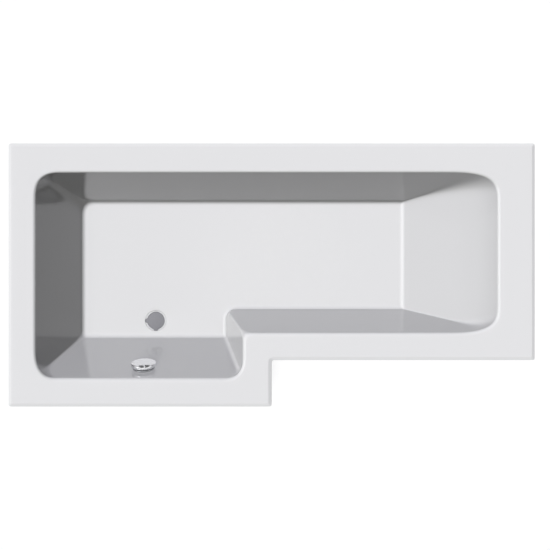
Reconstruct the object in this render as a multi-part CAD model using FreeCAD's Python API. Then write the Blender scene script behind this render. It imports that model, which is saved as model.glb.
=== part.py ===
import FreeCAD, Part
import math
import os

# L-shaped acrylic shower bath with its legs, plug waste and overflow.
# Millimetres. Origin under the middle of the plan, at the feet. +X runs from the
# shower end to the backrest end, +Y from the front to the wall side, +Z up.

Vector = FreeCAD.Vector
UP = Vector(0, 0, 1)
ALONG_X = Vector(1, 0, 0)
ALONG_Y = Vector(0, 1, 0)

# Bath as a whole
bath_length = 1700.0
wide_width = 850.0
wide_length = 850.0
step_out = 150.0
bath_height = 540.0
floor_height = 140.0
shell_wall = 6.0
skirt_depth = 40.0

# Rim width from each outer edge to the basin
shower_end_rim = 86.0
backrest_end_rim = 118.0
back_rim = 94.0
wide_front_rim = 90.0
narrow_front_rim = 88.0
step_rim = 92.0

# How far each basin wall leans inward between the rim and the floor
shower_end_lean = 52.0
backrest_lean = 242.0
back_lean = 57.5
wide_front_lean = 103.0
narrow_front_lean = 60.0
step_lean = 81.0

# Rounding of the shell
plan_corner_radius = 10.0
rim_edge_round = 9.0
basin_lip_round = 8.0
floor_fillet = 22.0
crease_radius = 30.0
shower_back_corner = 68.0
shower_front_corner = 90.0
step_front_corner = 75.0
backrest_corner = 95.0
nose_rim_radius = 20.0
nose_floor_radius = 32.0
flare_depth = 120.0
flare_steps = 4
round_steps = 4

# Base board and timber battens
board_thickness = 18.0
board_margin = 30.0
board_notch_margin = 26.0
batten_width = 45.0
batten_thickness = 22.0
batten_end_gap = 14.0

# Cradle rails, centre bracket and their screws
rail_width = 40.0
rail_height = 25.0
rail_wall = 2.0
rail_end_margin = 25.0
shower_rail_share = 0.11
backrest_rail_share = 0.85
bracket_web = 44.0
bracket_flange = 26.0
bracket_length = 80.0
centre_foot_x_share = 0.50
centre_foot_y_share = 0.50
rail_screw_shares = (0.10, 0.37, 0.63, 0.90)
screw_radius = 2.2
screw_length = 15.0
screw_head_radius = 4.2
screw_head_height = 2.6
screw_clearance = 0.05

# Levelling feet
foot_overhang = 33.0
stud_radius = 5.0
stud_clearance = 0.08
stud_hole_clearance = 0.6
foot_travel = 15.0
stud_spare = 2.0
stud_top_gap = 4.0
nut_across_flats = 17.0
nut_height = 8.0
pad_radius = 25.0
pad_rim_height = 7.0
pad_boss_radius = 11.0
pad_height = 26.0
pad_floor = 9.0
pad_edge_round = 2.0

# Wall brackets under the back rim
bracket_shares = (0.20, 0.80)
wall_bracket_width = 40.0
wall_bracket_leg = 38.0
wall_bracket_drop = 46.0
wall_bracket_thickness = 2.0
wall_hole_radius = 3.2
wall_hole_rise = 14.0
bracket_screw_spacing = 22.0

# Waste in the basin floor
waste_from_end = 277.0
waste_from_front = 61.0
waste_hole_radius = 26.5
recess_radius = 39.5
recess_depth = 4.0
top_seal_thickness = 2.0
lower_seal_thickness = 3.0
seal_margin = 2.0
flange_radius = 38.0
flange_thickness = 3.0
flange_edge_round = 1.4
flange_bore = 22.0
flange_tube_wall = 3.0
flange_tube_length = 28.0
guide_radius = 6.5
guide_height = 6.0
arm_width = 4.0
thread_clearance = 0.1
body_flange_radius = 42.0
body_flange_thickness = 5.0
body_wall = 4.0
chamber_radius = 30.0
thread_ring_height = 15.0
chamber_height = 28.0
cone_height = 8.0
tail_radius = 23.9
tail_wall = 3.9
tail_length = 26.0

# Plug and the rocker that lifts it
plug_lift = 10.0
plug_radius = 33.0
plug_thickness = 4.4
plug_edge_round = 2.4
plug_gap = 0.3
plug_boss_radius = 12.0
plug_boss_height = 9.0
plug_seal_height = 4.0
seal_gap = 0.3
stem_radius = 3.0
shaft_clearance = 0.05
rocker_reach = 20.0
rocker_shaft_radius = 3.0
rocker_shaft_half_length = 25.0
rocker_tip_radius = 3.0
rocker_width = 6.0
rocker_thickness = 4.0
rocker_drop = 9.0
rocker_floor_gap = 13.0
rocker_end_gap = 0.2

# Overflow on the wide front wall, a little to one side of the waste
overflow_aside = 8.0
overflow_down = 88.0
overflow_hole_radius = 26.5
overflow_front_seal_thickness = 1.5
overflow_back_seal_thickness = 3.0
overflow_flange_radius = 36.0
overflow_flange_thickness = 3.5
overflow_flange_round = 1.5
overflow_tube_length = 24.0
overflow_hub_radius = 8.0
overflow_hub_depth = 12.0
overflow_body_flange = 37.0
overflow_body_flange_thickness = 4.0
overflow_chamber_radius = 26.0
overflow_chamber_depth = 33.0
overflow_body_wall = 3.0
knob_radius = 41.0
knob_standoff = 5.0
knob_thickness = 12.0
knob_edge_round = 5.0
knob_wall = 4.0
knob_boss_radius = 9.0
knob_boss_reach = 2.0
spindle_radius = 4.0
crank_radius = 7.0
crank_reach = 15.0
crank_width = 7.0
crank_thickness = 4.0
crank_back_gap = 5.0

# Overflow hose and control cable
spigot_radius = 16.0
spigot_wall = 2.5
spigot_neck = 12.0
spigot_insert = 28.0
hose_clearance = 0.2
hose_wall = 1.5
hose_rib_height = 1.8
hose_rib_pitch = 6.0
hose_nut_length = 18.0
hose_nut_wall = 3.6
hose_nut_setback = 3.0
cable_radius = 2.5
cable_gap = 3.0
cable_boss_radius = 5.0
cable_boss_length = 30.0
cable_port_reach = 12.0
ferrule_length = 14.0
ferrule_wall = 1.6

# One overrun for all cuts
overrun = 1.0

# Outer plan
outer_left = -bath_length / 2
outer_right = bath_length / 2
back_y = wide_width / 2
wide_front_y = -wide_width / 2
narrow_front_y = wide_front_y + step_out
step_x = outer_left + wide_length
outer_sides = {
    "left": (outer_left, 1),
    "right": (outer_right, -1),
    "back": (back_y, -1),
    "wide_front": (wide_front_y, 1),
    "narrow_front": (narrow_front_y, 1),
    "step": (step_x, -1),
}

# Basin walls: edge at the rim, lean towards the inside of the basin
basin_sides = {
    "left": (outer_left + shower_end_rim, shower_end_lean),
    "right": (outer_right - backrest_end_rim, -backrest_lean),
    "back": (back_y - back_rim, -back_lean),
    "wide_front": (wide_front_y + wide_front_rim, wide_front_lean),
    "narrow_front": (narrow_front_y + narrow_front_rim, narrow_front_lean),
    "step": (step_x - step_rim, -step_lean),
}

# Corners of the L in order round the plan, with -1 where the plan turns back on itself
corner_sides = (
    ("left", "wide_front"),
    ("step", "wide_front"),
    ("step", "narrow_front"),
    ("right", "narrow_front"),
    ("right", "back"),
    ("left", "back"),
)
corner_turns = (1, 1, -1, 1, 1, 1)
rim_radii = (shower_front_corner, step_front_corner, nose_rim_radius,
             backrest_corner, backrest_corner, shower_back_corner)
floor_radii = (crease_radius, crease_radius, nose_floor_radius,
               crease_radius, crease_radius, crease_radius)

# Levels
floor_z = floor_height
basin_depth = bath_height - floor_height
under_floor_z = floor_z - shell_wall
board_bottom_z = under_floor_z - board_thickness
rim_under_z = bath_height - shell_wall
batten_bottom_z = rim_under_z - batten_thickness


def side_at(name, down, grow=0, offset=0):
    """Place of one basin wall at a depth, moved out square to the wall and then level."""
    edge, lean = basin_sides[name]
    inward = math.copysign(1, lean)
    slant = math.hypot(1, lean / basin_depth)
    return edge + lean * down / basin_depth - inward * (grow * slant + offset)


floor_left = side_at("left", basin_depth)
floor_right = side_at("right", basin_depth)
floor_back = side_at("back", basin_depth)
floor_wide_front = side_at("wide_front", basin_depth)
floor_narrow_front = side_at("narrow_front", basin_depth)
floor_step = side_at("step", basin_depth)

waste_x = floor_left + waste_from_end
waste_y = floor_wide_front + waste_from_front

# Waste levels, from the floor downwards
recess_z = floor_z - recess_depth
recess_under_z = recess_z - shell_wall
flange_under_z = recess_z + top_seal_thickness
flange_top_z = flange_under_z + flange_thickness
flange_tube_radius = flange_bore + flange_tube_wall
flange_tube_end_z = flange_under_z - flange_tube_length
body_top_z = recess_under_z - lower_seal_thickness
body_flange_z = body_top_z - body_flange_thickness
chamber_top_z = body_top_z - thread_ring_height
chamber_bottom_z = chamber_top_z - chamber_height
tail_top_z = chamber_bottom_z - cone_height
tail_end_z = tail_top_z - tail_length
body_radius = chamber_radius + body_wall
plug_under_z = flange_top_z + plug_gap
plug_boss_z = plug_under_z - plug_boss_height
rocker_z = chamber_bottom_z + rocker_floor_gap
rocker_swing = math.asin(plug_lift / 2 / rocker_reach)
stem_end_z = rocker_z - plug_lift / 2 + rocker_tip_radius + plug_gap

# Overflow frame: heights are measured from the wall's face, along the wall's normal
wall_slope = math.atan2(wide_front_lean, basin_depth)
wall_normal = Vector(0, math.cos(wall_slope), math.sin(wall_slope))
overflow_x = waste_x + overflow_aside
overflow_point = Vector(overflow_x, side_at("wide_front", overflow_down), bath_height - overflow_down)
overflow_turn = FreeCAD.Rotation(UP, wall_normal)
overflow_tube_radius = overflow_chamber_radius - thread_clearance
overflow_tube_bore = overflow_tube_radius - flange_tube_wall
flange_back_w = overflow_front_seal_thickness
flange_front_w = flange_back_w + overflow_flange_thickness
knob_back_w = flange_front_w + knob_standoff
knob_front_w = knob_back_w + knob_thickness
body_front_w = -shell_wall - overflow_back_seal_thickness
chamber_back_w = body_front_w - overflow_chamber_depth
body_back_w = chamber_back_w - overflow_body_wall
barrel_radius = overflow_chamber_radius + overflow_body_wall
spigot_w = body_front_w - overflow_body_flange_thickness - spigot_radius

# Hose and cable route: down, round one bend, then level to the waste
spigot_point = overflow_point + wall_normal * spigot_w
hose_bore = spigot_radius + hose_clearance
hose_root = hose_bore + hose_wall
hose_crest = hose_root + hose_rib_height
hose_top_z = spigot_point.z - barrel_radius - spigot_neck
hose_level_z = (chamber_top_z + chamber_bottom_z) / 2
hose_end_y = waste_y - body_radius - spigot_neck
hose_cuff = 2 * hose_crest
hose_bend = hose_end_y - hose_cuff - spigot_point.y
nut_ring_radius = hose_root + hose_clearance + hose_nut_wall
cable_x = overflow_x - nut_ring_radius - cable_gap - cable_radius
cable_top_z = spigot_point.z - cable_boss_length
cable_end_y = waste_y - body_radius - cable_port_reach

# Feet: plan place of each stud, and the underside of the sheet that carries it
shower_rail_x = floor_left + shower_rail_share * (floor_right - floor_left)
backrest_rail_x = floor_left + backrest_rail_share * (floor_right - floor_left)
rail_back_y = floor_back + foot_overhang
shower_rail_front_y = floor_wide_front - foot_overhang
backrest_rail_front_y = floor_narrow_front - foot_overhang
centre_x = floor_left + centre_foot_x_share * (floor_right - floor_left)
centre_y = floor_narrow_front + centre_foot_y_share * (floor_back - floor_narrow_front)
web_under_z = board_bottom_z - rail_wall
stud_above_nut = foot_travel + stud_spare
bracket_height = rail_wall + nut_height + stud_above_nut + foot_travel + stud_top_gap
bracket_web_z = board_bottom_z - bracket_height
rail_foot_places = (
    (shower_rail_x, shower_rail_front_y),
    (shower_rail_x, rail_back_y),
    (backrest_rail_x, backrest_rail_front_y),
    (backrest_rail_x, rail_back_y),
)
foot_places = rail_foot_places + ((centre_x, centre_y),)


def box(x0, x1, y0, y1, z0, z1):
    """Block between two corners."""
    return Part.makeBox(x1 - x0, y1 - y0, z1 - z0, Vector(x0, y0, z0))


def cylinder(radius, z0, z1, x=0, y=0):
    """Upright cylinder between two levels."""
    return Part.makeCylinder(radius, z1 - z0, Vector(x, y, z0))


def ring(outer, inner, z0, z1, x=0, y=0):
    """Upright ring between two levels."""
    hole = cylinder(inner, z0 - overrun, z1 + overrun, x, y)
    return cylinder(outer, z0, z1, x, y).cut(hole)


def cone(radius0, radius1, z0, z1, x=0, y=0):
    """Upright cone frustum between two levels."""
    return Part.makeCone(radius0, radius1, z1 - z0, Vector(x, y, z0))


def round_edges(shape, radius, level):
    """Round the circular edges that lie at one level."""
    edges = []
    for edge in shape.Edges:
        span = edge.BoundBox
        if max(abs(span.ZMin - level), abs(span.ZMax - level)) < radius / 100:
            edges.append(edge)
    return shape.makeFillet(radius, edges)


def fuse(first, *others):
    """One solid from several that meet."""
    return first.multiFuse(list(others)).removeSplitter()


def on_wall(shape):
    """Carry a shape from its own upright axis to the overflow's place on the wall."""
    placed = shape.copy()
    placed.Placement = FreeCAD.Placement(overflow_point, overflow_turn)
    return placed


def rounded_outline(points, radii):
    """Closed wire through the corners of an outline, with an arc at each."""
    edges = []
    starts = []
    ends = []
    count = len(points)
    for i in range(count):
        corner = points[i]
        to_last = (points[i - 1] - corner).normalize()
        to_next = (points[(i + 1) % count] - corner).normalize()
        centre = corner + (to_last + to_next) * radii[i]
        middle = centre - (to_last + to_next).normalize() * radii[i]
        starts.append(corner + to_last * radii[i])
        ends.append(corner + to_next * radii[i])
        edges.append(Part.Arc(starts[i], middle, ends[i]).toShape())
    wire = []
    for i in range(count):
        wire.append(edges[i])
        wire.append(Part.LineSegment(ends[i], starts[(i + 1) % count]).toShape())
    return Part.Wire(wire)


def l_points(places, z):
    """The six corners of an L from the places of its six sides."""
    return [Vector(places[a], places[b], z) for a, b in corner_sides]


def plan_section(inset, z):
    """Outer plan of the bath, moved inward."""
    places = {name: edge + inward * inset for name, (edge, inward) in outer_sides.items()}
    radii = [plan_corner_radius - turn * inset for turn in corner_turns]
    return rounded_outline(l_points(places, z), radii)


def basin_section(down, grow, offset=0, drop=0):
    """Basin outline at a depth: corner radii open out towards the rim."""
    places = {name: side_at(name, down, grow, offset) for name in basin_sides}
    open_share = max(0, 1 - down / flare_depth) ** 2
    radii = []
    for rim_radius, floor_radius, turn in zip(rim_radii, floor_radii, corner_turns):
        opened = floor_radius + (rim_radius - floor_radius) * open_share
        radii.append(opened + turn * (grow + offset))
    return rounded_outline(l_points(places, bath_height - down - drop), radii)


def quarter(step):
    """Angle of one step round a quarter circle."""
    return math.pi / 2 * step / round_steps


def flare_levels(start):
    """Depths between the lip and the end of the corners' flare."""
    return [start + (flare_depth - start) * step / flare_steps for step in range(flare_steps + 1)]


def floor_sections(grow):
    """Sections round the fillet between walls and floor."""
    radius = floor_fillet + grow
    start = basin_depth - floor_fillet
    sections = []
    for step in range(round_steps + 1):
        angle = quarter(step)
        down = start + radius * math.sin(angle)
        sections.append(basin_section(down, grow, -radius * (1 - math.cos(angle))))
    return sections


def basin_cavity():
    """Inside of the basin, open above the rim, with a rolled lip and a floor fillet."""
    sections = [basin_section(0, 0, basin_lip_round, -overrun)]
    for step in range(round_steps):
        angle = quarter(step)
        out = basin_lip_round * (1 - math.sin(angle))
        sections.append(basin_section(basin_lip_round * (1 - math.cos(angle)), 0, out))
    sections += [basin_section(down, 0) for down in flare_levels(basin_lip_round)]
    return Part.makeLoft(sections + floor_sections(0), True, True)


def basin_outside():
    """Back of the basin walls and floor, from the middle of the rim's thickness down."""
    sections = [basin_section(down, shell_wall) for down in flare_levels(shell_wall / 2)]
    return Part.makeLoft(sections + floor_sections(shell_wall), True, True)


def rim_and_skirt():
    """Flat rim with a rounded outer edge and a skirt turned down all round."""
    skirt_z = bath_height - skirt_depth
    sections = [plan_section(0, skirt_z)]
    for step in range(round_steps + 1):
        angle = quarter(step)
        inset = rim_edge_round * (1 - math.cos(angle))
        sections.append(plan_section(inset, bath_height - rim_edge_round * (1 - math.sin(angle))))
    block = Part.makeLoft(sections, True, True)
    under = Part.makeLoft([plan_section(shell_wall, skirt_z - overrun),
                           plan_section(shell_wall, rim_under_z)], True, True)
    return block.cut(under)


def bath_shell():
    """Rim, skirt and basin, with the waste recess and the two holes."""
    boss_top_z = under_floor_z + shell_wall / 2
    recess_boss = cylinder(recess_radius + shell_wall, recess_under_z, boss_top_z, waste_x, waste_y)
    shell = rim_and_skirt().fuse(basin_outside()).fuse(recess_boss)
    shell = shell.cut(basin_cavity())
    shell = shell.cut(cylinder(recess_radius, recess_z, floor_z + overrun, waste_x, waste_y))
    shell = shell.cut(cylinder(waste_hole_radius, recess_under_z - overrun, floor_z, waste_x, waste_y))
    hole = on_wall(cylinder(overflow_hole_radius, -shell_wall - overrun, overrun))
    return shell.cut(hole).removeSplitter()


def board_front_at(x):
    """Front edge of the base board at a place along the bath."""
    front = floor_wide_front if x < floor_step else floor_narrow_front
    return front + board_margin


def rail_screw_places():
    """Plan places of the screws that hold the two rails to the board."""
    places = []
    for x in (shower_rail_x, backrest_rail_x):
        front = board_front_at(x)
        for share in rail_screw_shares:
            places.append((x, front + share * (floor_back - board_margin - front)))
    return places


def centre_screw_places():
    """Plan places of the screws through the feet of the centre bracket."""
    side = bracket_web / 2 + bracket_flange / 2
    half = bracket_length / 4
    return [(centre_x + i * half, centre_y + j * side) for i in (-1, 1) for j in (-1, 1)]


def screw_up(x, y, seat_z):
    """Screw driven upwards, its head against a sheet's underside."""
    shank = cylinder(screw_radius, seat_z, seat_z + screw_length, x, y)
    head = cylinder(screw_head_radius, seat_z - screw_head_height, seat_z, x, y)
    return fuse(shank, head)


def screw_hole(x, y, z0, z1):
    """Hole for a screw's shank."""
    return cylinder(screw_radius + screw_clearance, z0, z1, x, y)


def base_board():
    """L-shaped board under the floor, notched round the waste and its hose."""
    left = floor_left + board_margin
    right = floor_right - board_margin
    back = floor_back - board_margin
    wide_right = floor_step - board_margin
    wide = box(left, wide_right, board_front_at(left), back, board_bottom_z, under_floor_z)
    narrow = box(left, right, board_front_at(right), back, board_bottom_z, under_floor_z)
    reach = recess_radius + shell_wall + board_notch_margin
    notch = box(waste_x - reach, waste_x + reach, board_front_at(left) - overrun, waste_y + reach,
                board_bottom_z - overrun, under_floor_z + overrun)
    board = fuse(wide, narrow).cut(notch)
    top = web_under_z + screw_length + overrun
    for x, y in rail_screw_places() + centre_screw_places():
        board = board.cut(screw_hole(x, y, board_bottom_z - overrun, top))
    return board


def batten(x0, x1, y0, y1):
    """Timber batten under the rim."""
    return box(x0, x1, y0, y1, batten_bottom_z, rim_under_z)


def wall_bracket_xs():
    """Places of the wall brackets along the back."""
    return [outer_left + share * bath_length for share in bracket_shares]


def bracket_screw_places():
    """Plan places of the screws that hold the wall brackets to the back batten."""
    y = back_y - shell_wall - batten_width / 2
    return [(x + side * bracket_screw_spacing / 2, y) for x in wall_bracket_xs() for side in (-1, 1)]


def battens():
    """Six battens: they butt at the corners with a gap."""
    inside = shell_wall
    left = outer_left + inside
    right = outer_right - inside
    back = back_y - inside
    front = wide_front_y + inside
    narrow = narrow_front_y + inside
    step = step_x - inside
    deep = batten_width
    gap = batten_end_gap
    back_batten = batten(left + gap, right - gap, back - deep, back)
    for x, y in bracket_screw_places():
        top = batten_bottom_z - wall_bracket_thickness + screw_length + overrun
        back_batten = back_batten.cut(screw_hole(x, y, batten_bottom_z - overrun, top))
    return {
        "back_batten": back_batten,
        "shower_end_batten": batten(left, left + deep, front + deep + gap, back - deep - gap),
        "backrest_end_batten": batten(right - deep, right, narrow + deep + gap, back - deep - gap),
        "wide_front_batten": batten(left + gap, step - gap, front, front + deep),
        "step_batten": batten(step - deep, step, front + deep + gap, narrow - gap),
        "narrow_front_batten": batten(step + gap, right - gap, narrow, narrow + deep),
    }


def rail(x, front_y):
    """Channel open downwards, with a stud hole at each end and screw holes along the web."""
    half = rail_width / 2
    y0 = front_y - rail_end_margin
    y1 = rail_back_y + rail_end_margin
    z0 = board_bottom_z - rail_height
    channel = box(x - half, x + half, y0, y1, z0, board_bottom_z)
    channel = channel.cut(box(x - half + rail_wall, x + half - rail_wall, y0 - overrun, y1 + overrun,
                              z0 - overrun, web_under_z))
    for y in (front_y, rail_back_y):
        channel = channel.cut(cylinder(stud_radius + stud_hole_clearance, web_under_z - overrun,
                                       board_bottom_z + overrun, x, y))
    for screw_x, y in rail_screw_places():
        if screw_x == x:
            channel = channel.cut(screw_hole(x, y, web_under_z - overrun, board_bottom_z + overrun))
    return channel


def centre_foot_bracket():
    """Top-hat bracket: a low web for the foot, and a flange on each side against the board."""
    x0 = centre_x - bracket_length / 2
    x1 = centre_x + bracket_length / 2
    half = bracket_web / 2
    outer = box(x0, x1, centre_y - half, centre_y + half, bracket_web_z, board_bottom_z)
    inner = box(x0 - overrun, x1 + overrun, centre_y - half + rail_wall, centre_y + half - rail_wall,
                bracket_web_z + rail_wall, board_bottom_z + overrun)
    wings = box(x0, x1, centre_y - half - bracket_flange, centre_y + half + bracket_flange,
                web_under_z, board_bottom_z)
    bracket = fuse(outer, wings).cut(inner)
    bracket = bracket.cut(cylinder(stud_radius + stud_hole_clearance, bracket_web_z - overrun,
                                   bracket_web_z + rail_wall + overrun, centre_x, centre_y))
    for x, y in centre_screw_places():
        bracket = bracket.cut(screw_hole(x, y, web_under_z - overrun, board_bottom_z + overrun))
    return bracket


def rail_screws():
    """All screws that go up into the base board."""
    return Part.makeCompound([screw_up(x, y, web_under_z)
                              for x, y in rail_screw_places() + centre_screw_places()])


def hex_nut(x, y, z0):
    """Hexagon nut with a plain bore."""
    corner = nut_across_flats / math.sqrt(3)
    points = [Vector(x + corner * math.cos(math.pi * i / 3), y + corner * math.sin(math.pi * i / 3), z0)
              for i in range(7)]
    prism = Part.Face(Part.makePolygon(points)).extrude(UP * nut_height)
    bore = cylinder(stud_radius + stud_clearance, z0 - overrun, z0 + nut_height + overrun, x, y)
    return prism.cut(bore)


def weld_nuts():
    """Nuts fixed to the sheet: under the rails' webs, on the centre bracket's web."""
    nuts = [hex_nut(x, y, web_under_z - nut_height) for x, y in rail_foot_places]
    nuts.append(hex_nut(centre_x, centre_y, bracket_web_z + rail_wall))
    return Part.makeCompound(nuts)


def lock_nuts():
    """Nuts that lock the studs, on the other side of the sheet."""
    nuts = [hex_nut(x, y, board_bottom_z) for x, y in rail_foot_places]
    nuts.append(hex_nut(centre_x, centre_y, bracket_web_z - nut_height))
    return Part.makeCompound(nuts)


def levelling_stud(place):
    """Threaded stud from its foot pad up through the nuts."""
    x, y = place
    sheet_z = board_bottom_z if place in rail_foot_places else bracket_web_z + rail_wall
    return cylinder(stud_radius, pad_floor, sheet_z + nut_height + stud_above_nut, x, y)


def foot_pad(place):
    """Moulded pad: a flat disc that rises in a cone to the boss round the stud."""
    x, y = place
    disc = round_edges(cylinder(pad_radius, 0, pad_rim_height), pad_edge_round, pad_rim_height)
    slope_top = (pad_rim_height + pad_height) / 2
    slope = cone(pad_radius - pad_edge_round, pad_boss_radius, pad_rim_height, slope_top)
    boss = cylinder(pad_boss_radius, pad_rim_height, pad_height)
    pad = fuse(disc, slope, boss)
    pad = pad.cut(cylinder(stud_radius + stud_clearance, pad_floor, pad_height + overrun))
    pad.translate(Vector(x, y, 0))
    return pad


def wall_bracket(x):
    """Angle under the back batten, its drop leg holed for a wall screw."""
    x0 = x - wall_bracket_width / 2
    x1 = x + wall_bracket_width / 2
    y1 = back_y - shell_wall
    top_z = batten_bottom_z
    leg = box(x0, x1, y1 - wall_bracket_leg, y1, top_z - wall_bracket_thickness, top_z)
    drop = box(x0, x1, y1 - wall_bracket_thickness, y1, top_z - wall_bracket_drop, top_z)
    angle = fuse(leg, drop)
    hole_z = top_z - wall_bracket_drop + wall_hole_rise
    hole = Part.makeCylinder(wall_hole_radius, wall_bracket_thickness + 2 * overrun,
                             Vector(x, y1 - wall_bracket_thickness - overrun, hole_z), ALONG_Y)
    angle = angle.cut(hole)
    for screw_x, screw_y in bracket_screw_places():
        if abs(screw_x - x) < wall_bracket_width / 2:
            angle = angle.cut(screw_hole(screw_x, screw_y, top_z - wall_bracket_thickness - overrun,
                                         top_z + overrun))
    return angle


def wall_brackets():
    """One wall bracket at each place along the back."""
    return Part.makeCompound([wall_bracket(x) for x in wall_bracket_xs()])


def bracket_screws():
    """Screws up into the back batten."""
    seat_z = batten_bottom_z - wall_bracket_thickness
    return Part.makeCompound([screw_up(x, y, seat_z) for x, y in bracket_screw_places()])


def guide_spider(hub, bore, reach, z0, z1):
    """Hub with a bore, held by three arms."""
    arms = []
    for i in range(3):
        arm = box(0, reach, -arm_width / 2, arm_width / 2, z0, z1)
        arm.rotate(Vector(0, 0, 0), UP, 360 * i / 3)
        arms.append(arm)
    spider = fuse(cylinder(hub, z0, z1), *arms)
    return spider.cut(cylinder(bore, z0 - overrun, z1 + overrun))


def at_waste(shape):
    """Carry a shape from its own upright axis to the waste's place in the floor."""
    shape.translate(Vector(waste_x, waste_y, 0))
    return shape


def waste_flange():
    """Chrome ring on the floor with a threaded tube and the guide for the plug's stem."""
    disc = cylinder(flange_radius, flange_under_z, flange_top_z)
    plate = round_edges(disc, flange_edge_round, flange_top_z)
    tube = cylinder(flange_tube_radius, flange_tube_end_z, flange_under_z)
    bore = cylinder(flange_bore, flange_tube_end_z - overrun, flange_top_z + overrun)
    flange = fuse(plate, tube).cut(bore)
    reach = flange_bore + flange_tube_wall / 2
    spider = guide_spider(guide_radius, stem_radius + shaft_clearance, reach,
                          flange_tube_end_z, flange_tube_end_z + guide_height)
    return at_waste(fuse(flange, spider))


def waste_top_seal():
    """Rubber ring between the flange and the floor."""
    return at_waste(ring(flange_radius - seal_margin, waste_hole_radius, recess_z, flange_under_z))


def waste_lower_seal():
    """Rubber ring between the floor's underside and the waste body."""
    return at_waste(ring(body_flange_radius - seal_margin, waste_hole_radius, body_top_z, recess_under_z))


def waste_body():
    """Moulded body: clamp flange, chamber, tail for the trap, hose branch and cable port."""
    flange = cylinder(body_flange_radius, body_flange_z, body_top_z)
    outside = cylinder(body_radius, chamber_bottom_z, body_top_z)
    funnel = cone(tail_radius, body_radius, tail_top_z, chamber_bottom_z)
    tail = cylinder(tail_radius, tail_end_z, tail_top_z)
    branch_length = body_radius + spigot_neck + spigot_insert
    branch_start = Vector(overflow_aside, 0, hose_level_z)
    port_x = cable_x - waste_x
    branch = Part.makeCylinder(spigot_radius, branch_length, branch_start, -ALONG_Y)
    port = Part.makeCylinder(cable_boss_radius, body_radius + cable_port_reach,
                             Vector(port_x, 0, hose_level_z), -ALONG_Y)
    port_web = box(port_x, 0, -body_radius, 0, hose_level_z - cable_boss_radius,
                   hose_level_z + cable_boss_radius)
    body = fuse(flange, outside, funnel, tail, branch, port, port_web)
    tail_bore = tail_radius - tail_wall
    thread_bore = flange_tube_radius + thread_clearance
    body = body.cut(cylinder(thread_bore, chamber_top_z - overrun, body_top_z + overrun))
    body = body.cut(cylinder(chamber_radius, chamber_bottom_z, chamber_top_z))
    body = body.cut(cone(tail_bore, chamber_radius, tail_top_z, chamber_bottom_z))
    body = body.cut(cylinder(tail_bore, tail_end_z - overrun, tail_top_z))
    body = body.cut(Part.makeCylinder(spigot_radius - spigot_wall, branch_length + overrun,
                                      branch_start, -ALONG_Y))
    half = rocker_shaft_half_length + rocker_end_gap
    body = body.cut(Part.makeCylinder(rocker_shaft_radius + shaft_clearance, 2 * half,
                                      Vector(-half, rocker_reach, rocker_z), ALONG_X))
    return at_waste(body)


def plug_cap():
    """Flat metal plug with a rounded edge and a boss underneath."""
    top_z = plug_under_z + plug_thickness
    disc = round_edges(cylinder(plug_radius, plug_under_z, top_z), plug_edge_round, top_z)
    return at_waste(fuse(disc, cylinder(plug_boss_radius, plug_boss_z, plug_under_z)))


def plug_seal():
    """Rubber ring round the plug's boss, just inside the flange."""
    top_z = plug_boss_z + plug_seal_height
    return at_waste(ring(flange_bore - seal_gap, plug_boss_radius, plug_boss_z, top_z))


def plug_stem():
    """Pin under the plug that runs in the flange's guide."""
    return at_waste(cylinder(stem_radius, stem_end_z, plug_boss_z))


def lift_rocker():
    """Rocker in the waste body: a shaft, a finger under the stem and an arm for the cable."""
    half = rocker_width / 2
    shaft = Part.makeCylinder(rocker_shaft_radius, 2 * rocker_shaft_half_length,
                              Vector(-rocker_shaft_half_length, 0, 0), ALONG_X)
    finger = box(-half, half, -rocker_reach, 0, -rocker_thickness / 2, rocker_thickness / 2)
    tip = Part.makeCylinder(rocker_tip_radius, rocker_width, Vector(-half, -rocker_reach, 0), ALONG_X)
    arm = box(-half, half, -rocker_thickness / 2, rocker_thickness / 2, -rocker_drop, 0)
    rocker = fuse(shaft, finger, tip, arm)
    rocker.rotate(Vector(0, 0, 0), ALONG_X, math.degrees(rocker_swing))
    rocker.translate(Vector(0, rocker_reach, rocker_z))
    return at_waste(rocker)


def overflow_front_seal():
    """Thin ring between the overflow flange and the wall."""
    return on_wall(ring(overflow_flange_radius - seal_margin, overflow_hole_radius, 0, flange_back_w))


def overflow_back_seal():
    """Rubber ring between the wall's back and the overflow body."""
    outer = overflow_body_flange - seal_margin
    return on_wall(ring(outer, overflow_hole_radius, body_front_w, -shell_wall))


def overflow_flange():
    """Chrome ring on the wall, its tube screwed into the body, with the spindle's bearing."""
    plate = round_edges(cylinder(overflow_flange_radius, flange_back_w, flange_front_w),
                        overflow_flange_round, flange_front_w)
    tube_end = flange_back_w - overflow_tube_length
    tube = cylinder(overflow_tube_radius, tube_end, flange_back_w)
    bore = cylinder(overflow_tube_bore, tube_end - overrun, flange_front_w + overrun)
    flange = fuse(plate, tube).cut(bore)
    reach = overflow_tube_bore + flange_tube_wall / 2
    spider = guide_spider(overflow_hub_radius, spindle_radius + shaft_clearance, reach,
                          flange_front_w - overflow_hub_depth, flange_front_w)
    return on_wall(fuse(flange, spider))


def overflow_body():
    """Moulded elbow behind the wall, with the hose spigot and the cable port below."""
    flange = cylinder(overflow_body_flange, body_front_w - overflow_body_flange_thickness, body_front_w)
    barrel = cylinder(barrel_radius, body_back_w, body_front_w)
    chamber = cylinder(overflow_chamber_radius, chamber_back_w, body_front_w + overrun)
    x, y, z = spigot_point
    spigot_end_z = hose_top_z - spigot_insert
    spigot = cylinder(spigot_radius, spigot_end_z, z, x, y)
    port = cylinder(cable_boss_radius, cable_top_z, z, cable_x, y)
    web = box(cable_x, x, y - cable_boss_radius, y + cable_boss_radius,
              z - cable_boss_radius, z)
    body = fuse(on_wall(fuse(flange, barrel)), spigot, port, web)
    body = body.cut(on_wall(chamber))
    return body.cut(cylinder(spigot_radius - spigot_wall, spigot_end_z - overrun, z, x, y))


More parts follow.
